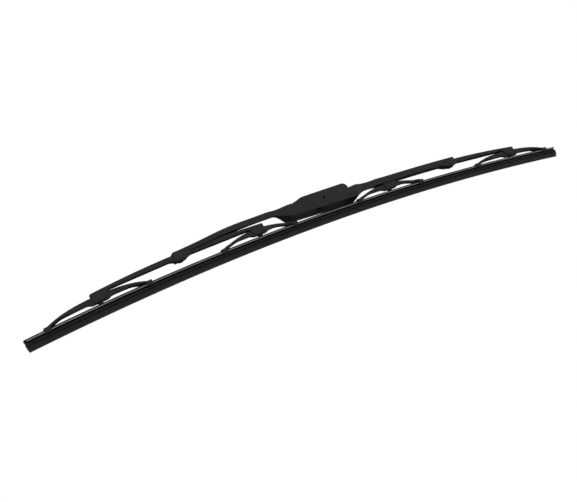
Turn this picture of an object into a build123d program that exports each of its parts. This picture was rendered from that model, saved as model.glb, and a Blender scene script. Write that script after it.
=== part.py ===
from build123d import *
import os
from math import cos, degrees, sin

# Line of the blade, as it lies free
BLADE_LENGTH = 600.0  # rubber from end to end, along its lip
BOW_RADIUS = 2650.0  # bow of the lip, preset by the backing strips
PIN_HEIGHT = 22.7  # arm pin above the lip, in the middle of the claws
PIVOT_SHIFT = 3.0  # pivots beyond the middle of their claws
RUBBER_SHIFT = -2.4  # middle of the rubber in the claws

# Places of the claws along the lip
CLAW_PITCH = 75.8  # claw to claw, all but the outermost pair
OVERHANG = 17.9  # half length of the rubber beyond the last claw
CLAW_LENGTH = 5.4

# Section of the rubber, heights above the lip and half widths
LIP_HALF = 0.35
LIP_EDGE = 0.9  # upright part of the lip, under the wedge
WEDGE_HALF = 2.5
WEDGE_SHOULDER = 3.9
WEDGE_TOP = 4.4
HINGE_HALF = 0.7
HINGE_TOP = 4.9
FLANGE_HALF = 2.9
NECK_HALF = 1.8
GROOVE_HALF = 1.1
BEAD_HALF = 2.6
BEAD_TOP = 10.85
BEAD_ROUND = 0.6

# Backing strips
STRIP_MIDDLE = 8.76  # height of the middle of a strip
STRIP_THICK = 0.9
STRIP_EDGE = 4.05  # outer edge from the middle plane
STRIP_PLAY = 0.1  # strip in its groove
STRIP_INSET = 1.5  # strip ends short of the rubber ends

# Sheet of the pressed frame, and outer radius of its bends
YOKE_SHEET = 0.7
YOKE_BEND = 0.6
SECONDARY_SHEET = 0.7
SECONDARY_BEND = 1.0
PRIMARY_SHEET = 0.9
PRIMARY_BEND = 1.2

# Nesting of one bridge in the next
YOKE_HALF = 1.7
LINER_WALL = 0.3
SIDE_PLAY = 0.1  # liner to the cheek outside it
CLAW_PLAY = 0.3  # claw to the rubber and strips
SECONDARY_HALF = YOKE_HALF + LINER_WALL + SIDE_PLAY + SECONDARY_SHEET
PRIMARY_HALF = SECONDARY_HALF + LINER_WALL + SIDE_PLAY + PRIMARY_SHEET
WAIST_HALF = 1.7  # slimmest part of a primary arm
BOX_HALF = 9.4  # middle of the primary, where the wiper arm goes in

# Yokes: heights above the lip, lengths along it
YOKE_CROWN = 19.2
YOKE_PIN = 15.6
YOKE_ARCH = 14.6
YOKE_LUG_LOW = 12.9
YOKE_RISE = 20.0  # length from a claw up to the arch
YOKE_LUG = 4.8  # half length of the lug round the pin
YOKE_LUG_RISE = 7.0  # length from the lug up to the arch
YOKE_FLARE = 9.0  # length over which the yoke widens to a claw

# Secondaries: heights above the lip, lengths along it
SECONDARY_END = 22.3
SECONDARY_CROWN = 24.8
SECONDARY_PIN = 20.8
SECONDARY_ARM = 20.3  # lower edge of an arm
SECONDARY_LUG_LOW = 13.2
SECONDARY_MID_LOW = 18.0
SECONDARY_LUG = 5.6  # half length of a lug
SECONDARY_RISE = 9.0  # length from a lug up to the arm

# Primary: heights above the lip
PRIMARY_END = 26.8
PRIMARY_LUG_LOW = 18.0
LEFT_TOP = 30.9
LEFT_LOW = 24.9
LEFT_BELLY = 25.2  # lower edge where the left arm is highest
LEFT_END_LOW = 23.0
RIGHT_TOP = 27.4
RIGHT_NEST = 26.5  # top of the right arm over the secondary's end
RIGHT_LOW = 20.0
RIGHT_END_LOW = 20.6
BOX_LEFT_TOP = 28.1
BOX_RIGHT_TOP = 25.1
BOX_LEFT_LOW = 16.3
BOX_RIGHT_LOW = 13.9
EAR_TOP = 30.6
EAR_FOOT = 24.0

# Primary: stations from the middle and lengths along the blade
PRIMARY_LUG = 6.0  # half length of an end lug
PRIMARY_RISE = 12.0  # length from an end lug up to the arm
SHOULDER = 80.0  # level top of the left arm begins here
CREST_LEFT = 59.0  # and ends here
CREST_RIGHT = 49.0  # highest point of the right arm
NEST_TOP = 76.0  # right arm is level from here
BELLY = 98.0  # station of the belly of the left arm
BOX_REACH = 34.0  # corner of the box
BOX_LEFT_RISE = 21.0  # curve from the box up to the left arm
BOX_RIGHT_RISE = 18.0  # curve from the box up to the right arm
BOX_TAPER = 20.0  # length over which the box narrows to an arm
LEFT_FLARE = 70.0  # waist of the left arm ends here
LEFT_WIDE = 118.0  # left arm is at its full width from here
RIGHT_FLARE = 57.0  # waist of the right arm ends here
RIGHT_WIDE = 70.0  # right arm is at its full width from here
EAR_LEFT = 32.5
EAR_LEFT_RISE = 13.0
EAR_RIGHT = 29.6
EAR_RIGHT_FALL = 6.0
NOTCH = 0.8  # radius of the relief at the end of an ear

# Pins, fits and heads
RIVET = 1.1  # shank radius, yoke on secondary
MAIN_RIVET = 1.4  # shank radius, secondary on primary
RUNNING_FIT = 0.05
HEAD_OVER = 0.8  # head radius beyond the shank
HEAD_THICK = 0.4
LINER_LUG = 3.8  # half length of a liner
ARM_PIN = 2.4
ARM_PIN_BORE = 1.5
ARM_PIN_FLANGE = 0.6
ARM_PIN_HEAD = 0.4

# Derived heights and half widths
GROOVE_LOW = STRIP_MIDDLE - STRIP_THICK / 2 - STRIP_PLAY
GROOVE_TOP = STRIP_MIDDLE + STRIP_THICK / 2 + STRIP_PLAY
CLAW_ROOF = BEAD_TOP + CLAW_PLAY
CLAW_TOP = CLAW_ROOF + YOKE_SHEET
CLAW_INSIDE = STRIP_EDGE + CLAW_PLAY
CLAW_HALF = CLAW_INSIDE + YOKE_SHEET
CLAW_TIP_TOP = STRIP_MIDDLE - STRIP_THICK / 2 - CLAW_PLAY
CLAW_TIP_LOW = CLAW_TIP_TOP - YOKE_SHEET
CLAW_MOUTH = NECK_HALF + CLAW_PLAY
FLANGE_TOP = CLAW_TIP_LOW - CLAW_PLAY

# Derived stations, as distances from the middle
LAST_CLAW = BLADE_LENGTH / 2 - OVERHANG
NEXT_CLAW = CLAW_PITCH / 2 + 2 * CLAW_PITCH
OUTER_SPAN = LAST_CLAW - NEXT_CLAW
INNER_YOKE = CLAW_PITCH
OUTER_YOKE = (LAST_CLAW + NEXT_CLAW) / 2
SECONDARY_STATION = (INNER_YOKE + OUTER_YOKE) / 2

FAR = 100.0  # reach of a cutting body, well past any part
UPWARD = 0.5  # upright share of the normal of an upper face


def spot(s, h):
    """Point s along the lip from the middle and h above it, in the side view."""
    turn = s / BOW_RADIUS
    radius = BOW_RADIUS + h
    return Vector(radius * sin(turn), radius * cos(turn) - BOW_RADIUS)


def seat(s):
    """Frame on the lip at s, x along the blade and z off the glass."""
    foot = spot(s, 0)
    return Location((foot.X, 0, foot.Y), (0, degrees(s / BOW_RADIUS), 0))


def soft(stations, place=spot):
    """Edges through stations: level runs stay straight, steps become S curves."""
    edges = []
    for (s0, h0), (s1, h1) in zip(stations, stations[1:]):
        ends = [place(s0, h0), place(s1, h1)]
        ways = [place(s0 + 1, h0) - ends[0], place(s1 + 1, h1) - ends[1]]
        edges.append(Line(ends) if h0 == h1 else Spline(ends, tangents=ways))
    return edges


def ring(upper, lower):
    """Closed edges from an upper and a lower line that run the same way."""
    left = Line(upper[0] @ 0, lower[0] @ 0)
    right = Line(upper[-1] @ 1, lower[-1] @ 1)
    return upper + lower + [left, right]


def side_body(edges):
    """Body of a side view, reaching to both sides of the middle plane."""
    return extrude(Plane.XZ * make_face(edges), FAR, both=True)


def plan_body(stations, inset):
    """Body of a plan view from (x, half width) stations."""
    upper = soft([(x, half - inset) for x, half in stations], Vector)
    lower = soft([(x, inset - half) for x, half in stations], Vector)
    return extrude(make_face(ring(upper, lower)), FAR, both=True)


def under(upper):
    """Body of all that lies under an upper line of the side view."""
    start, end = upper[0] @ 0, upper[-1] @ 1
    return side_body(ring(upper, [Line((start.X, -FAR), (end.X, -FAR))]))


def bent(solid, plan, bend):
    """Solid with a bend radius along its two long upper edges."""
    narrowest = min(half for x, half in plan)
    crest = solid.faces().filter_by(lambda face: face.normal_at().Z > UPWARD).edges()
    return fillet(crest.filter_by(lambda edge: abs(edge.center().Y) > narrowest / 2), bend)


def cross_hole(radius, s, h):
    """Round cutter across the blade."""
    centre = spot(s, h)
    return Pos(centre.X, 0, centre.Y) * Rot(90, 0, 0) * Cylinder(radius, 2 * FAR)


def claw():
    """Claw round the strips, at the middle of the lip."""
    tall = CLAW_TOP - CLAW_TIP_LOW
    outer = Pos(0, CLAW_TIP_LOW + tall / 2) * Rectangle(2 * CLAW_HALF, tall)
    outer = chamfer(outer.vertices(), YOKE_BEND)
    inside = CLAW_ROOF - CLAW_TIP_TOP
    inner = Pos(0, CLAW_TIP_TOP + inside / 2) * Rectangle(2 * CLAW_INSIDE, inside)
    mouth = Pos(0, CLAW_TIP_TOP) * Rectangle(2 * CLAW_MOUTH, inside)
    return extrude(Plane.YZ * (outer - inner - mouth), CLAW_LENGTH / 2, both=True)


def yoke_line(span, sheet):
    """Arched upper line of a yoke, lowered by a sheet, in the frame of its middle."""
    end = spot(span / 2, CLAW_TOP - sheet)
    return [Spline((-end.X, end.Y), (PIVOT_SHIFT, YOKE_CROWN - sheet), (end.X, end.Y))]


def yoke(s, span):
    """Claw yoke with its two claws, its middle at s along the blade."""
    half = span / 2
    arch = YOKE_LUG + YOKE_LUG_RISE
    low = [(-half, CLAW_ROOF), (YOKE_RISE - half, YOKE_ARCH), (PIVOT_SHIFT - arch, YOKE_ARCH)]
    low += [(PIVOT_SHIFT - YOKE_LUG, YOKE_LUG_LOW), (PIVOT_SHIFT + YOKE_LUG, YOKE_LUG_LOW)]
    low += [(PIVOT_SHIFT + arch, YOKE_ARCH), (half - YOKE_RISE, YOKE_ARCH), (half, CLAW_ROOF)]
    slim = half - YOKE_FLARE
    plan = [(-half, CLAW_HALF), (-slim, YOKE_HALF), (slim, YOKE_HALF), (half, CLAW_HALF)]
    solid = side_body(ring(yoke_line(span, 0), soft(low))) & plan_body(plan, 0)
    body = solid - (under(yoke_line(span, YOKE_SHEET)) & plan_body(plan, YOKE_SHEET))
    body -= cross_hole(RIVET + RUNNING_FIT, PIVOT_SHIFT, YOKE_PIN)
    for way in (1, -1):
        body += seat(way * half) * claw()
    return seat(s) * body


def secondary_line(left, right, sheet):
    """Upper line of a secondary between its end pivots, or of the hollow a sheet inside it."""
    start = spot(left - SECONDARY_LUG - sheet, SECONDARY_END - sheet)
    end = spot(right + SECONDARY_LUG + sheet, SECONDARY_END - sheet)
    return [ThreePointArc(start, spot((left + right) / 2, SECONDARY_CROWN - sheet), end)]


def secondary(left, right):
    """Secondary bridge between its two end pivots."""
    middle = (left + right) / 2
    flat = SECONDARY_LUG / 2
    rise = flat + SECONDARY_RISE
    low = [(left - SECONDARY_LUG, SECONDARY_LUG_LOW), (left + flat, SECONDARY_LUG_LOW)]
    low += [(left + rise, SECONDARY_ARM), (middle - rise, SECONDARY_ARM)]
    low += [(middle - flat, SECONDARY_MID_LOW), (middle + flat, SECONDARY_MID_LOW)]
    low += [(middle + rise, SECONDARY_ARM), (right - rise, SECONDARY_ARM)]
    low += [(right - flat, SECONDARY_LUG_LOW), (right + SECONDARY_LUG, SECONDARY_LUG_LOW)]
    plan = [(-BLADE_LENGTH / 2, SECONDARY_HALF), (BLADE_LENGTH / 2, SECONDARY_HALF)]
    solid = side_body(ring(secondary_line(left, right, 0), soft(low))) & plan_body(plan, 0)
    hollow = under(secondary_line(left, right, SECONDARY_SHEET)) & plan_body(plan, SECONDARY_SHEET)
    body = bent(solid, plan, SECONDARY_BEND) - hollow
    for s in (left, right):
        body -= cross_hole(RIVET + RUNNING_FIT, s, YOKE_PIN)
    return body - cross_hole(MAIN_RIVET + RUNNING_FIT, middle, SECONDARY_PIN)


def primary_line(sheet):
    """Upper line of the primary, lowered by a sheet."""
    line = [(PIVOT_SHIFT - SECONDARY_STATION - PRIMARY_LUG, PRIMARY_END), (-SHOULDER, LEFT_TOP)]
    line += [(-CREST_LEFT, LEFT_TOP), (-EAR_LEFT, BOX_LEFT_TOP), (EAR_RIGHT, BOX_RIGHT_TOP)]
    line += [(CREST_RIGHT, RIGHT_TOP), (NEST_TOP, RIGHT_NEST)]
    line += [(PIVOT_SHIFT + SECONDARY_STATION + PRIMARY_LUG, PRIMARY_END)]
    return soft([(s, h - sheet) for s, h in line])


def primary_low():
    """Lower line of the primary: end lugs, arms and box."""
    left = PIVOT_SHIFT - SECONDARY_STATION
    flat = left + PRIMARY_LUG / 2
    line = [(left - PRIMARY_LUG, PRIMARY_LUG_LOW), (flat, PRIMARY_LUG_LOW)]
    line += [(flat + PRIMARY_RISE, LEFT_END_LOW), (-BELLY, LEFT_BELLY)]
    line += [(-BOX_REACH - BOX_LEFT_RISE, LEFT_LOW), (-BOX_REACH, BOX_LEFT_LOW)]
    edges = soft(line)
    right = PIVOT_SHIFT + SECONDARY_STATION
    flat = right - PRIMARY_LUG / 2
    line = [(BOX_REACH, BOX_RIGHT_LOW), (BOX_REACH + BOX_RIGHT_RISE, RIGHT_LOW)]
    line += [(flat - PRIMARY_RISE, RIGHT_END_LOW), (flat, PRIMARY_LUG_LOW)]
    line += [(right + PRIMARY_LUG, PRIMARY_LUG_LOW)]
    return edges + [Line(edges[-1] @ 1, spot(*line[0]))] + soft(line)


def primary_ears(walls):
    """Raised ears of the box, within the walls of its plan."""
    top = [(-EAR_LEFT, BOX_LEFT_TOP), (EAR_LEFT_RISE - EAR_LEFT, EAR_TOP)]
    edges = soft(top + [(EAR_RIGHT - EAR_RIGHT_FALL, EAR_TOP)])
    foot = spot(EAR_RIGHT, EAR_FOOT)
    edges.append(Spline(edges[-1] @ 1, foot, tangents=[(1, 0), (0, -1)]))
    edges.append(Polyline(foot, spot(-EAR_LEFT, EAR_FOOT), spot(-EAR_LEFT, BOX_LEFT_TOP)))
    return side_body(edges) & walls


def primary():
    """Primary bridge with its box for the wiper arm."""
    waist = BOX_REACH + BOX_TAPER
    plan = [(-BLADE_LENGTH / 2, PRIMARY_HALF), (-LEFT_WIDE, PRIMARY_HALF), (-LEFT_FLARE, WAIST_HALF)]
    plan += [(-waist, WAIST_HALF), (-BOX_REACH, BOX_HALF), (BOX_REACH, BOX_HALF), (waist, WAIST_HALF)]
    plan += [(RIGHT_FLARE, WAIST_HALF), (RIGHT_WIDE, PRIMARY_HALF), (BLADE_LENGTH / 2, PRIMARY_HALF)]
    inside = plan_body(plan, PRIMARY_SHEET)
    solid = side_body(ring(primary_line(0), primary_low())) & plan_body(plan, 0)
    body = bent(solid, plan, PRIMARY_BEND) - (under(primary_line(PRIMARY_SHEET)) & inside)
    gap = EAR_RIGHT + EAR_LEFT
    deep = EAR_TOP - EAR_FOOT
    hatch = Pos(gap / 2 - EAR_LEFT, 0, EAR_TOP) * Box(gap, 2 * (BOX_HALF - PRIMARY_SHEET), 2 * deep)
    body = body - hatch + primary_ears(plan_body(plan, 0) - inside)
    body -= cross_hole(NOTCH, -EAR_LEFT, BOX_LEFT_TOP)
    body -= cross_hole(NOTCH, EAR_RIGHT + NOTCH, BOX_RIGHT_TOP)
    for way in (1, -1):
        body -= cross_hole(MAIN_RIVET + RUNNING_FIT, PIVOT_SHIFT + way * SECONDARY_STATION, SECONDARY_PIN)
    return body - cross_hole(ARM_PIN + RUNNING_FIT, 0, PIN_HEIGHT)


def liner(upper, top, pin, half, radius):
    """Plastic saddle over the crown of a bridge, its pin over the middle of the lip."""
    low = pin - LINER_LUG
    tall = top + LINER_WALL - low
    tab = Pos(0, low + tall / 2) * Rectangle(2 * LINER_LUG, tall)
    tab = chamfer(tab.vertices().group_by(Axis.Y)[0], LINER_LUG / 2)
    body = extrude(Plane.XZ * tab, half + LINER_WALL, both=True)
    body -= upper & Box(FAR, 2 * half, FAR)
    return body - cross_hole(radius + RUNNING_FIT, 0, pin)


def rivet(radius, half):
    """Rivet across two cheeks, with a low head on each side."""
    head = radius + HEAD_OVER
    tip = half + HEAD_THICK
    rim = [(0, tip), (radius, tip), (head, half), (radius, half)]
    outline = rim + [(x, -y) for x, y in rim[::-1]]
    return revolve(make_face(Polyline(outline, close=True)), Axis.Y)


def arm_pin():
    """Tubular pin across the box, flanged over both cheeks."""
    tip = BOX_HALF + ARM_PIN_HEAD
    rim = [(ARM_PIN_BORE, tip), (ARM_PIN + ARM_PIN_FLANGE, tip), (ARM_PIN + ARM_PIN_FLANGE, BOX_HALF)]
    rim.append((ARM_PIN, BOX_HALF))
    outline = rim + [(x, -y) for x, y in rim[::-1]]
    return revolve(make_face(Polyline(outline, close=True)), Axis.Y)


def swept(section, length):
    """Section carried along the bow of the blade."""
    start = seat(RUBBER_SHIFT - length / 2) * (Plane.YZ * section)
    return revolve(start, Axis((0, 0, -BOW_RADIUS), (0, 1, 0)), degrees(length / BOW_RADIUS))


def rubber():
    """Squeegee: wedge and lip, hinge, flange, neck, strip grooves and bead."""
    half = [(LIP_HALF, 0), (LIP_HALF, LIP_EDGE), (WEDGE_HALF, WEDGE_SHOULDER), (WEDGE_HALF, WEDGE_TOP)]
    half += [(HINGE_HALF, WEDGE_TOP), (HINGE_HALF, HINGE_TOP), (FLANGE_HALF, HINGE_TOP)]
    half += [(FLANGE_HALF, FLANGE_TOP), (NECK_HALF, FLANGE_TOP), (NECK_HALF, GROOVE_LOW)]
    half += [(GROOVE_HALF, GROOVE_LOW), (GROOVE_HALF, GROOVE_TOP)]
    half += [(BEAD_HALF, GROOVE_TOP), (BEAD_HALF, BEAD_TOP)]
    section = make_face(Polyline(half + [(-y, z) for y, z in half[::-1]], close=True))
    section = chamfer(section.vertices().group_by(Axis.Y)[-1], BEAD_ROUND)
    return swept(section, BLADE_LENGTH)


def strip(way):
    """Backing strip on one side of the middle plane."""
    inner = GROOVE_HALF + STRIP_PLAY
    middle = (inner + STRIP_EDGE) / 2
    section = Pos(way * middle, STRIP_MIDDLE) * Rectangle(STRIP_EDGE - inner, STRIP_THICK)
    return swept(section, BLADE_LENGTH - 2 * STRIP_INSET)


origin = Vector(0, 0, PIN_HEIGHT)
parts = {"primary_bridge": primary(), "rubber_squeegee": rubber()}
parts["arm_pin"] = Pos(origin) * arm_pin()
parts["backing_strip_front"] = strip(-1)
parts["backing_strip_rear"] = strip(1)
yokes = {"left_outer": -OUTER_YOKE, "left_inner": -INNER_YOKE}
yokes |= {"right_inner": INNER_YOKE, "right_outer": OUTER_YOKE}
for name, s in yokes.items():
    span = CLAW_PITCH if "inner" in name else OUTER_SPAN
    parts[f"yoke_{name}"] = yoke(s, span)
    crown = seat(PIVOT_SHIFT).inverse() * under(yoke_line(span, 0))
    pivot = seat(s + PIVOT_SHIFT)
    parts[f"liner_{name}"] = pivot * liner(crown, YOKE_CROWN, YOKE_PIN, YOKE_HALF, RIVET)
    parts[f"rivet_{name}"] = pivot * Pos(0, 0, YOKE_PIN) * rivet(RIVET, SECONDARY_HALF)
for side in ("left", "right"):
    ends = sorted(s + PIVOT_SHIFT for name, s in yokes.items() if side in name)
    parts[f"secondary_{side}"] = secondary(*ends)
    pivot = seat(sum(ends) / 2)
    crown = pivot.inverse() * under(secondary_line(*ends, 0))
    saddle = liner(crown, SECONDARY_CROWN, SECONDARY_PIN, SECONDARY_HALF, MAIN_RIVET)
    parts[f"liner_main_{side}"] = pivot * saddle
    parts[f"rivet_main_{side}"] = pivot * Pos(0, 0, SECONDARY_PIN) * rivet(MAIN_RIVET, PRIMARY_HALF)

os.makedirs("parts", exist_ok=True)
for name, body in parts.items():
    export_step(Pos(-origin) * body, f"parts/{name}.step")
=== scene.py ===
import math

import bmesh
import bpy
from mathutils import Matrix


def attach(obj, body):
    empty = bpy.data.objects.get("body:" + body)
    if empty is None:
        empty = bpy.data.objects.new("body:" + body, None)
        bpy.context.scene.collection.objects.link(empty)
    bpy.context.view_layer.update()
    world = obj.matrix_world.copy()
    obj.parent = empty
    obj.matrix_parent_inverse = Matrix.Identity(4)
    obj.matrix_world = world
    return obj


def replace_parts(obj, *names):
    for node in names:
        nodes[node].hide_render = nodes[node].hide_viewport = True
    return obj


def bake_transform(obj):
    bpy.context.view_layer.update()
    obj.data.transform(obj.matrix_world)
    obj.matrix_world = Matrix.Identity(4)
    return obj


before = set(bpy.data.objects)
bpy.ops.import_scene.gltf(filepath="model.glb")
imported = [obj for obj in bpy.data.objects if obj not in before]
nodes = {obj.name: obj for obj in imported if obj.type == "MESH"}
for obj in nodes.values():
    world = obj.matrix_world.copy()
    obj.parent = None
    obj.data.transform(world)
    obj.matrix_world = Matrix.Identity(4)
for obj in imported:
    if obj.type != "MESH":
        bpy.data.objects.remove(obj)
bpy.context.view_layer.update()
scene = bpy.context.scene

# Camera of the photograph: metres, degrees, and millimetres for lens and sensor
CAMERA_PLACE = (-0.412074, -0.664347, -0.238476)
CAMERA_TURN = (107.035, 27.1537, -20.2454)
CAMERA_LENS = 53.03
CAMERA_SENSOR = 36.0
CAMERA_NEAR = 0.01

# Floor and light: metres, and each lamp's name, place, width and watts
FLOOR_HEIGHT = -0.62
FLOOR_SIZE = 3.0
FLOOR_TONE = (0.85, 0.85, 0.85)
FLOOR_ROUGH = 0.9
FLOOR_LIFT = 0.6
LAMPS = (
    ("key", (-0.5, -1.4, 1.0), 1.2, 11),
    ("fill", (1.0, -1.4, 0.2), 1.6, 3.5),
    ("rim", (0.2, 1.2, 1.1), 1.0, 5),
)
SKY_TONE = (0.9, 0.92, 0.95)
SKY_STRENGTH = 0.22
MIRRORED = ("Is Glossy Ray", "Is Transmission Ray")

# Line of the blade in metres, as in the solids
BOW = 2.65
PIN = 0.0227
RUBBER_SHIFT = -0.0024
HALF_LENGTH = 0.300
STRIP_INSET = 0.0015
CLAWS = (0.0379, 0.1137, 0.1895)
STEP = 0.004

# Where rubber and strips are cut beside an inner claw, in metres from it towards the middle
CLAW_LEAVE = 0.0030
CLAW_SETTLE = 0.0100

# Rear half of the rubber and the rear strip in millimetres: across, above the lip, corner radius
RUBBER_SECTION = (
    (0.35, 0.00, 0.05), (0.35, 0.90, 0.30), (2.50, 3.90, 0.40), (2.50, 4.40, 0.15),
    (0.70, 4.40, 0.20), (0.70, 4.90, 0.20), (2.90, 4.90, 0.35), (2.90, 7.01, 0.35),
    (1.80, 7.01, 0.15), (1.80, 8.21, 0.10), (1.10, 8.21, 0.10), (1.10, 9.31, 0.10),
    (2.60, 9.31, 0.25), (2.60, 10.85, 0.70),
)
STRIP_SECTION = ((1.20, 8.31, 0.10), (4.05, 8.31, 0.22), (4.05, 9.21, 0.22), (1.20, 9.21, 0.10))
# Height above the lip in millimetres where the pale lip colour starts, and how much it fades from the lip
# up to there: partly coating, partly painted light from below
WEDGE_TOP = 4.5
WEDGE_FADE = 0.65

# Outer yokes in millimetres: along a yoke from its middle, heights above the lip, half widths
YOKE_MIDDLE = 235.8
YOKE_REACH = 46.3
YOKE_PIVOT = 3.0
YOKE_PIN = 15.6
YOKE_HOLE = 1.15
YOKE_SHEET = 0.7
YOKE_BEND = 0.6
YOKE_CROWN = 19.2
YOKE_FULLNESS = 2.5
YOKE_EDGE = 0.08
YOKE_STEP = 1.5
HOLE_SIDES = 32
HOLE_REACH = 10.0
CLAW_TOP = 11.85
CLAW_ROOF = 11.15
CLAW_REACH = 2.7
YOKE_ARCH = 14.2
YOKE_LUG_LOW = 12.5
YOKE_LOW = (
    (-YOKE_REACH, CLAW_ROOF), (-30.0, YOKE_ARCH), (-9.0, YOKE_ARCH), (-3.6, YOKE_LUG_LOW),
    (9.6, YOKE_LUG_LOW), (15.0, YOKE_ARCH), (30.0, YOKE_ARCH), (YOKE_REACH, CLAW_ROOF),
)
YOKE_HALF = 1.7
YOKE_WIDTH = ((-YOKE_REACH, 4.4), (-11.0, YOKE_HALF), (17.0, YOKE_HALF), (YOKE_REACH, 3.8))
CLAW_SECTION = (
    (5.05, CLAW_TOP, 0.60), (5.05, 7.31, 0.50), (2.10, 7.31, 0.10), (2.10, 8.01, 0.10),
    (4.35, 8.01, 0.15), (4.35, CLAW_ROOF, 0.15),
)

# Corners: share of a side that a corner may take, and the angle that stays sharp in degrees
CORNER_SHARE = 0.45
SHARP_ANGLE = 35

# Finishes: edge radii and relief in metres, noise scales per metre
EDGE_ROUND = 0.0003
EDGE_SAMPLES = 6
# Where the painted edge highlight is full and where it ends, as a match of rounded and true normals
EDGE_HIGHLIGHT_FULL = 0.80
EDGE_PLAIN = 0.99
COLOUR_NOISE = 60.0
ROUGH_NOISE = 220.0
PAINT_GRAIN = 900.0
STEEL_GRAIN = 400.0
GRAIN_STRENGTH = 0.12
GRAIN_DEPTH = 0.00015
EVEN = (1, 1, 1)
BRUSHED = (1, 14, 14)
TINT = 1.03

# Rubber
RUBBER_ROUND = 0.0002
RUBBER_GLOSS = 0.15
RUBBER_ROUGH = (0.62, 0.78)
RUBBER_GRAIN = 1500.0
RUBBER_GRAIN_DEPTH = 0.0001
RUBBER_DRAWN = (0.2, 1, 1)
RUBBER_DARK = (0.0080, 0.0074, 0.0075)
RUBBER_LIGHT = (0.0110, 0.0100, 0.0101)
# Painted highlight along the rubber's edges
RUBBER_EDGE_HIGHLIGHT = (0.022, 0.020, 0.020)
# Pale lip colour: partly coating, partly painted light from below
COAT_AND_FLOOR_LIT_NOISE = 90.0
COAT_AND_FLOOR_LIT_DARK = (0.0300, 0.0280, 0.0280)
COAT_AND_FLOOR_LIT_LIGHT = (0.0380, 0.0355, 0.0355)


def shader(name):
    """New material with its node tree and main shader."""
    material = bpy.data.materials.new(name)
    material.use_nodes = True
    tree = material.node_tree
    return material, tree, tree.nodes["Principled BSDF"]


def noise(tree, scale, detail=3.0, stretch=EVEN):
    """Noise in object space, so that it stays with the piece."""
    place = tree.nodes.new("ShaderNodeTexCoord")
    mapping = tree.nodes.new("ShaderNodeMapping")
    mapping.inputs["Scale"].default_value = stretch
    tree.links.new(place.outputs["Object"], mapping.inputs["Vector"])
    texture = tree.nodes.new("ShaderNodeTexNoise")
    texture.inputs["Scale"].default_value = scale
    texture.inputs["Detail"].default_value = detail
    tree.links.new(mapping.outputs["Vector"], texture.inputs["Vector"])
    return texture.outputs["Fac"]


def spread(tree, source, low, high, start=0.3, end=0.7):
    """Value mapped from one range to another."""
    span = tree.nodes.new("ShaderNodeMapRange")
    span.inputs["From Min"].default_value = start
    span.inputs["From Max"].default_value = end
    span.inputs["To Min"].default_value = low
    span.inputs["To Max"].default_value = high
    tree.links.new(source, span.inputs["Value"])
    return span.outputs["Result"]


def blend_colour(tree, amount, first, second):
    """Two colours or colour outputs mixed by an amount."""
    mix = tree.nodes.new("ShaderNodeMix")
    mix.data_type = "RGBA"
    tree.links.new(amount, mix.inputs[0])
    for socket, value in ((mix.inputs[6], first), (mix.inputs[7], second)):
        if isinstance(value, tuple):
            socket.default_value = (*value, 1)
        else:
            tree.links.new(value, socket)
    return mix.outputs[2]


def soft_edge(tree, radius):
    """Normal rounded at the edges of a piece, and how much it differs there, which masks the painted edge
    highlight.
    """
    bevel = tree.nodes.new("ShaderNodeBevel")
    bevel.samples = EDGE_SAMPLES
    bevel.inputs["Radius"].default_value = radius
    plain = tree.nodes.new("ShaderNodeNewGeometry")
    match = tree.nodes.new("ShaderNodeVectorMath")
    match.operation = "DOT_PRODUCT"
    tree.links.new(bevel.outputs["Normal"], match.inputs[0])
    tree.links.new(plain.outputs["Normal"], match.inputs[1])
    return bevel.outputs["Normal"], spread(tree, match.outputs["Value"], 1.0, 0.0, EDGE_HIGHLIGHT_FULL, EDGE_PLAIN)


def relief(tree, bsdf, source, distance, normal):
    """Fine relief from noise, on top of a normal."""
    bump = tree.nodes.new("ShaderNodeBump")
    bump.inputs["Strength"].default_value = GRAIN_STRENGTH
    bump.inputs["Distance"].default_value = distance
    tree.links.new(source, bump.inputs["Height"])
    tree.links.new(normal, bump.inputs["Normal"])
    tree.links.new(bump.outputs["Normal"], bsdf.inputs["Normal"])


def finish(name, dark, light, edge_highlight, rough, gloss, metal=0.0, grain=PAINT_GRAIN, stretch=EVEN):
    """Material with broken-up colour, roughness and relief, and a painted highlight along its edges."""
    material, tree, bsdf = shader(name)
    normal, rim = soft_edge(tree, EDGE_ROUND)
    colour = blend_colour(tree, spread(tree, noise(tree, COLOUR_NOISE, 4.0, stretch), 0, 1), dark, light)
    # Paler along the edges: painted highlight
    tree.links.new(blend_colour(tree, rim, colour, edge_highlight), bsdf.inputs["Base Color"])
    tree.links.new(spread(tree, noise(tree, ROUGH_NOISE, 3.0, stretch), *rough), bsdf.inputs["Roughness"])
    bsdf.inputs["Metallic"].default_value = metal
    bsdf.inputs["Specular IOR Level"].default_value = gloss
    relief(tree, bsdf, noise(tree, grain, 2.0, stretch), GRAIN_DEPTH, normal)
    return material


def grey(level):
    """Grey with a slight cool tint."""
    return (level, level * (1 + TINT) / 2, level * TINT)


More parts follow.
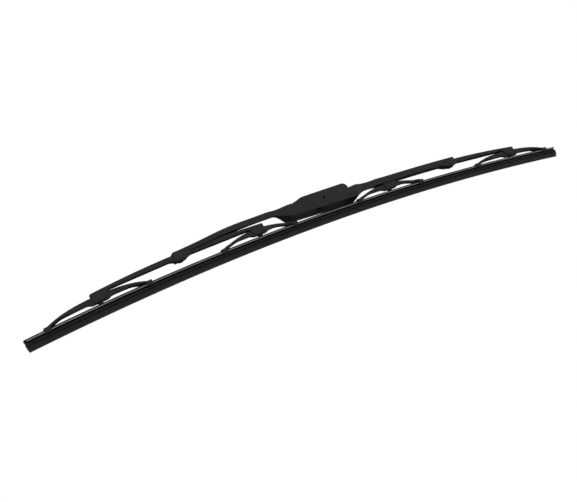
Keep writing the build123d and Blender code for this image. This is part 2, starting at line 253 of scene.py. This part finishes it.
def rubber_finish():
    """Matt rubber, its wedge paler towards the lip: partly its coating, partly painted light from below."""
    material, tree, bsdf = shader("rubber")
    normal, rim = soft_edge(tree, RUBBER_ROUND)
    wedge = tree.nodes.new("ShaderNodeAttribute")
    wedge.attribute_name = "wedge"
    body = blend_colour(tree, spread(tree, noise(tree, COLOUR_NOISE, 4.0), 0, 1), RUBBER_DARK, RUBBER_LIGHT)
    # Paler towards the lip: partly coating, partly painted light from below
    coat_and_floor_lit = blend_colour(tree, spread(tree, noise(tree, COAT_AND_FLOOR_LIT_NOISE, 4.0), 0, 1), COAT_AND_FLOOR_LIT_DARK, COAT_AND_FLOOR_LIT_LIGHT)
    colour = blend_colour(tree, wedge.outputs["Fac"], body, coat_and_floor_lit)
    # Paler along the edges: painted highlight
    tree.links.new(blend_colour(tree, rim, colour, RUBBER_EDGE_HIGHLIGHT), bsdf.inputs["Base Color"])
    tree.links.new(spread(tree, noise(tree, ROUGH_NOISE), *RUBBER_ROUGH), bsdf.inputs["Roughness"])
    bsdf.inputs["Specular IOR Level"].default_value = RUBBER_GLOSS
    relief(tree, bsdf, noise(tree, RUBBER_GRAIN, 2.0, RUBBER_DRAWN), RUBBER_GRAIN_DEPTH, normal)
    return material


# The third colour of each finish is a painted highlight along its edges
paint = finish("frame_paint", grey(0.0250), grey(0.0310), grey(0.042), (0.60, 0.74), gloss=0.12)
rivet_paint = finish("rivet_paint", grey(0.0200), grey(0.0270), grey(0.042), (0.52, 0.66), gloss=0.16)
plastic = finish("liner_plastic", grey(0.0080), grey(0.0110), grey(0.015), (0.55, 0.66), gloss=0.15)
steel = finish(
    "strip_steel", grey(0.11), grey(0.15), grey(0.18), (0.34, 0.48),
    gloss=0.5, metal=1.0, grain=STEEL_GRAIN, stretch=BRUSHED,
)
rubber = rubber_finish()

for name, node in nodes.items():
    look = paint
    if name.startswith("liner"):
        look = plastic
    elif name.startswith("rivet") or name == "arm_pin":
        look = rivet_paint
    elif name.startswith("rubber"):
        look = rubber
    elif name.startswith("backing"):
        look = steel
    node.data.materials.clear()
    node.data.materials.append(look)


def spot(s, height, y):
    """Point in the part's frame: s along the lip, height above it and y across."""
    turn = s / BOW
    return ((BOW + height) * math.sin(turn), y, (BOW + height) * math.cos(turn) - BOW - PIN)


def across(section, s):
    """Ring of a section in millimetres, set across the lip at s in metres."""
    return [spot(s, h / 1000, y / 1000) for y, h in section]


def mirror(corners):
    """Corners of the other half of a section."""
    return [(-y, h, radius) for y, h, radius in corners[::-1]]


def rounded(corners, steps=3):
    """Closed section with each corner turned into a short arc."""
    points = []
    count = len(corners)
    for i, (x, y, radius) in enumerate(corners):
        reach = []
        for other in (corners[i - 1], corners[(i + 1) % count]):
            dx, dy = other[0] - x, other[1] - y
            length = math.hypot(dx, dy)
            cut = min(radius, CORNER_SHARE * length)
            reach.append((x + dx / length * cut, y + dy / length * cut))
        (x0, y0), (x1, y1) = reach
        for k in range(steps + 1):
            t = k / steps
            a, b, c = (1 - t) ** 2, 2 * t * (1 - t), t * t
            points.append((a * x0 + b * x + c * x1, a * y0 + b * y + c * y1))
    return points


def loft(name, rings, look):
    """Closed piece through rings of points."""
    body = bmesh.new()
    loops = [[body.verts.new(point) for point in ring] for ring in rings]
    for near, far in zip(loops, loops[1:]):
        for i in range(len(near)):
            j = (i + 1) % len(near)
            body.faces.new((near[i], near[j], far[j], far[i]))
    body.faces.new(loops[0])
    body.faces.new(loops[-1][::-1])
    bmesh.ops.recalc_face_normals(body, faces=body.faces)
    mesh = bpy.data.meshes.new(name)
    body.to_mesh(mesh)
    body.free()
    mesh.materials.append(look)
    piece = bpy.data.objects.new(name, mesh)
    scene.collection.objects.link(piece)
    return piece


def smooth(mesh):
    """Smooth shading, with sharp corners left sharp."""
    mesh.polygons.foreach_set("use_smooth", [True] * len(mesh.polygons))
    mesh.set_sharp_from_angle(angle=math.radians(SHARP_ANGLE))


def run(name, section, start, end, look, node):
    """Closed length of a section swept along the lip from one station to another."""
    count = max(2, round(abs(end - start) / STEP))
    stations = [start + (end - start) * i / count for i in range(count + 1)]
    piece = loft(name, [across(section, s) for s in stations], look)
    smooth(piece.data)
    # Share of the pale lip colour at each point: partly coating, partly painted light from below
    shade = piece.data.attributes.new("wedge", "FLOAT", "POINT")
    fade = [1 - WEDGE_FADE * h / WEDGE_TOP if h < WEDGE_TOP else 0.0 for y, h in section]
    shade.data.foreach_set("value", fade * len(stations))
    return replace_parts(piece, node)


def lengths(name, section, inset, look, node):
    """Whole rubber or strip, swept in four lengths on each side of the middle."""
    near, mid, far = CLAWS[0], (CLAWS[1] + CLAWS[2]) / 2, HALF_LENGTH - inset
    leave = near - CLAW_LEAVE
    settle = near - CLAW_SETTLE
    for side, way in (("left", -1), ("right", 1)):
        outer, inner, bridge = f"yoke_{side}_outer", f"yoke_{side}_inner", f"secondary_{side}"
        tip = way * far + RUBBER_SHIFT
        plans = (
            ("tip", tip, way * mid, outer, bridge, CLAWS[2], mid),
            ("arm", way * mid, way * leave, bridge, inner, mid, CLAWS[1]),
            ("claw", way * leave, way * settle, inner, bridge, leave, settle),
            ("heart", way * settle, 0.0, bridge, "primary", settle, 0.0),
        )
        for part, start, end, first, second, begin, stop in plans:
            piece = run(f"{name}_{side}_{part}", section, start, end, look, node)
            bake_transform(piece)


whole_rubber = list(RUBBER_SECTION) + mirror(RUBBER_SECTION)
lengths("rubber", rounded(whole_rubber), 0, rubber, "rubber_squeegee")
rear = rounded(STRIP_SECTION)
front = rounded(mirror(STRIP_SECTION))
lengths("strip_rear", rear, STRIP_INSET, steel, "backing_strip_rear")
lengths("strip_front", front, STRIP_INSET, steel, "backing_strip_front")


def follow(stations, t):
    """Value at t on a line through stations that is level at each of them."""
    for (t0, v0), (t1, v1) in zip(stations, stations[1:]):
        if t <= t1:
            share = (t - t0) / (t1 - t0)
            return v0 + (v1 - v0) * share * share * (3 - 2 * share)
    return stations[-1][1]


def yoke_section(t):
    """Bent channel of a yoke at t from its middle: two half arches on top, open below."""
    span = YOKE_REACH - math.copysign(YOKE_PIVOT, t - YOKE_PIVOT)
    top = YOKE_CROWN - (YOKE_CROWN - CLAW_TOP) * (abs(t - YOKE_PIVOT) / span) ** YOKE_FULLNESS
    low = min(follow(YOKE_LOW, t), top - YOKE_SHEET - YOKE_EDGE)
    half = follow(YOKE_WIDTH, t)
    inside = half - YOKE_SHEET
    outer = [(half, low, YOKE_EDGE), (half, top, YOKE_BEND)]
    inner = [(inside, top - YOKE_SHEET, YOKE_EDGE), (inside, low, YOKE_EDGE)]
    return rounded(outer + mirror(outer) + mirror(inner) + inner)


def combine(piece, tools):
    """Join tools to a piece or cut them from it, each given with its operation."""
    for tool, operation in tools:
        change = piece.modifiers.new(operation, "BOOLEAN")
        change.operation = operation
        change.solver = "EXACT"
        change.object = tool
    shape = piece.evaluated_get(bpy.context.evaluated_depsgraph_get())
    piece.data = bpy.data.meshes.new_from_object(shape)
    piece.modifiers.clear()
    for tool, operation in tools:
        bpy.data.objects.remove(tool)


def outer_yoke(side, middle):
    """Outer yoke with its two claws, as one pressing with a hole for its rivet."""
    count = round(2 * YOKE_REACH / YOKE_STEP)
    stations = [YOKE_REACH * (2 * i / count - 1) for i in range(count + 1)]
    rings = [across(yoke_section(t), (middle + t) / 1000) for t in stations]
    piece = loft(f"{side}_outer_yoke", rings, paint)
    claw = rounded(list(CLAW_SECTION) + mirror(CLAW_SECTION))
    tools = []
    for end in (-YOKE_REACH, YOKE_REACH):
        rings = [across(claw, (middle + t) / 1000) for t in (end - CLAW_REACH, end + CLAW_REACH)]
        tools.append((loft("claw", rings, paint), "UNION"))
    pivot = middle + YOKE_PIVOT
    angles = [math.tau * i / HOLE_SIDES for i in range(HOLE_SIDES)]
    circle = [(pivot + math.cos(a) * YOKE_HOLE, YOKE_PIN + math.sin(a) * YOKE_HOLE) for a in angles]
    rings = [[spot(s / 1000, h / 1000, y / 1000) for s, h in circle] for y in (-HOLE_REACH, HOLE_REACH)]
    tools.append((loft("hole", rings, paint), "DIFFERENCE"))
    combine(piece, tools)
    smooth(piece.data)
    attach(piece, f"yoke_{side}_outer")
    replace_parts(piece, f"yoke_{side}_outer")


outer_yoke("left", -YOKE_MIDDLE)
outer_yoke("right", YOKE_MIDDLE)


def seen_white(tree, plain, white, surface, rays):
    """White for the kinds of ray that are named, and plain for all other light."""
    path = tree.nodes.new("ShaderNodeLightPath")
    seen = path.outputs[rays[0]]
    for ray in rays[1:]:
        either = tree.nodes.new("ShaderNodeMath")
        either.operation = "MAXIMUM"
        tree.links.new(seen, either.inputs[0])
        tree.links.new(path.outputs[ray], either.inputs[1])
        seen = either.outputs["Value"]
    mix = tree.nodes.new("ShaderNodeMixShader")
    tree.links.new(seen, mix.inputs["Fac"])
    tree.links.new(plain, mix.inputs[1])
    tree.links.new(white, mix.inputs[2])
    tree.links.new(mix.outputs["Shader"], surface)


def floor_finish():
    """Pale floor: the camera sees it lit, with its shadow, and lifted to about white."""
    material, tree, bsdf = shader("floor")
    bsdf.inputs["Base Color"].default_value = (*FLOOR_TONE, 1)
    bsdf.inputs["Roughness"].default_value = FLOOR_ROUGH
    path = tree.nodes.new("ShaderNodeLightPath")
    lift = tree.nodes.new("ShaderNodeMath")
    lift.operation = "MULTIPLY"
    lift.inputs[1].default_value = FLOOR_LIFT
    tree.links.new(path.outputs["Is Camera Ray"], lift.inputs[0])
    glow = tree.nodes.new("ShaderNodeEmission")
    tree.links.new(lift.outputs["Value"], glow.inputs["Strength"])
    lit = tree.nodes.new("ShaderNodeAddShader")
    tree.links.new(bsdf.outputs["BSDF"], lit.inputs[0])
    tree.links.new(glow.outputs["Emission"], lit.inputs[1])
    white = tree.nodes.new("ShaderNodeEmission")
    surface = tree.nodes["Material Output"].inputs["Surface"]
    seen_white(tree, lit.outputs["Shader"], white.outputs["Emission"], surface, MIRRORED)
    return material


def lamp(name, place, size, power):
    """Large soft lamp aimed at the blade."""
    data = bpy.data.lights.new(name, "AREA")
    data.shape = "DISK"
    data.size = size
    data.energy = power
    made = bpy.data.objects.new(name, data)
    scene.collection.objects.link(made)
    made.location = place
    aim = -made.location
    made.rotation_euler = aim.to_track_quat("-Z", "Y").to_euler()


# Floor and soft studio light
bpy.ops.mesh.primitive_plane_add(size=FLOOR_SIZE, location=(0, 0, FLOOR_HEIGHT))
floor = bpy.context.object
floor.name = "floor"
floor.data.materials.append(floor_finish())
for settings in LAMPS:
    lamp(*settings)

world = bpy.data.worlds.new("studio")
scene.world = world
world.use_nodes = True
sky = world.node_tree
background = sky.nodes["Background"]
background.inputs["Color"].default_value = (*SKY_TONE, 1)
background.inputs["Strength"].default_value = SKY_STRENGTH
white = sky.nodes.new("ShaderNodeBackground")
white.inputs["Color"].default_value = (1, 1, 1, 1)
white.inputs["Strength"].default_value = 1.0
sky_surface = sky.nodes["World Output"].inputs["Surface"]
all_seen = ("Is Camera Ray", *MIRRORED)
seen_white(sky, background.outputs["Background"], white.outputs["Background"], sky_surface, all_seen)

# Camera
camera_data = bpy.data.cameras.new("photo")
camera = bpy.data.objects.new("photo", camera_data)
scene.collection.objects.link(camera)
camera.location = CAMERA_PLACE
camera.rotation_euler = [math.radians(turn) for turn in CAMERA_TURN]
camera_data.lens = CAMERA_LENS
camera_data.sensor_width = CAMERA_SENSOR
camera_data.clip_start = CAMERA_NEAR
scene.camera = camera
scene.view_settings.view_transform = "Standard"
